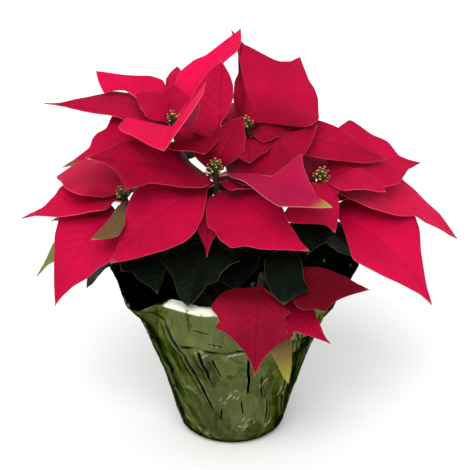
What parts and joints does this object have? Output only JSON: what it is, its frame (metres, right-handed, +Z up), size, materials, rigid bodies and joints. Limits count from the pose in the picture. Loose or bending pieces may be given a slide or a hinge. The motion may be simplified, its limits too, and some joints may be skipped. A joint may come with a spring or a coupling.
{
  "type": "potted poinsettia",
  "caption": "Potted poinsettia: red bracts in whorls on a branched stem, green leaves below, in a nursery pot wrapped in crinkled green foil.",
  "frame": {"origin": "centre of the foil wrap's flat base, on the surface it stands on", "axes": "+Z up, -Y towards the front of the plant, +X to its right as seen from the front"},
  "size_m": [0.4365, 0.2757, 0.3944],
  "materials": {
    "foil": "crinkled green metallised foil, glossy",
    "pot": "matt black moulded plastic",
    "soil": "moist peat and bark potting mix",
    "stem": "green bark, brown at the foot",
    "flowers": "yellow-green cups with red tips",
    "bract_red": "velvety crimson bract",
    "bract_shaded": "velvety deep red bract",
    "leaf_green": "dark green leaf, half matt",
    "leaf_olive": "olive leaf turning red at the edges"
  },
  "bodies": {
    "root": {"foil_wrap": "foil", "nursery_pot": "pot", "soil": "soil", "stems": "stem", "flowers_middle": "flowers", "flowers_upper_left": "flowers", "flowers_left": "flowers", "flowers_right": "flowers", "flowers_back": "flowers", "middle_bract_front_left": "bract_red", "middle_bract_left": "bract_red", "middle_bract_right": "bract_shaded", "middle_bract_front_right": "bract_red", "middle_bract_folded": "bract_red", "middle_bract_under": "bract_shaded", "middle_bract_back": "bract_red", "upper_left_bract_front": "bract_red", "upper_left_bract_rear": "bract_shaded", "upper_left_bract_top_left": "bract_red", "upper_left_bract_left": "bract_shaded", "upper_left_bract_low_left": "bract_red", "upper_left_bract_low_right": "bract_shaded", "upper_left_bract_right": "bract_red", "upper_left_bract_back": "bract_red", "back_bract_top_right": "bract_red", "back_bract_top": "bract_red", "back_bract_low_right": "bract_shaded", "back_bract_right": "bract_red", "back_bract_rear": "bract_red", "left_bract_hanging": "bract_red", "left_bract_tip": "bract_red", "left_bract_high": "bract_shaded", "left_leaf_brown": "leaf_olive", "left_bract_back": "bract_red", "right_bract_hanging": "bract_red", "right_bract_tip": "bract_red", "right_bract_far": "bract_red", "right_bract_front": "bract_red", "right_bract_side": "bract_red", "right_bract_back": "bract_red", "right_bract_back_low": "bract_red", "low_bract_hanging": "bract_red", "low_bract_right": "bract_red", "low_bract_far_right": "bract_red", "low_bract_olive": "leaf_olive", "green_leaf_front_right": "leaf_green", "green_leaf_front_left": "leaf_green", "green_leaf_left_low": "leaf_green", "green_leaf_middle": "leaf_green", "green_leaf_right_front": "leaf_olive", "green_leaf_right": "leaf_green", "green_leaf_left_far": "leaf_olive", "green_leaf_left_hanging": "leaf_olive", "green_leaf_left_under": "leaf_green", "green_leaf_back": "leaf_green", "green_leaf_back_left": "leaf_green", "green_leaf_back_right": "leaf_green", "green_leaf_high_left": "leaf_green", "green_leaf_high_right": "leaf_green", "green_leaf_left_back": "leaf_green"}
  },
  "joints": []
}
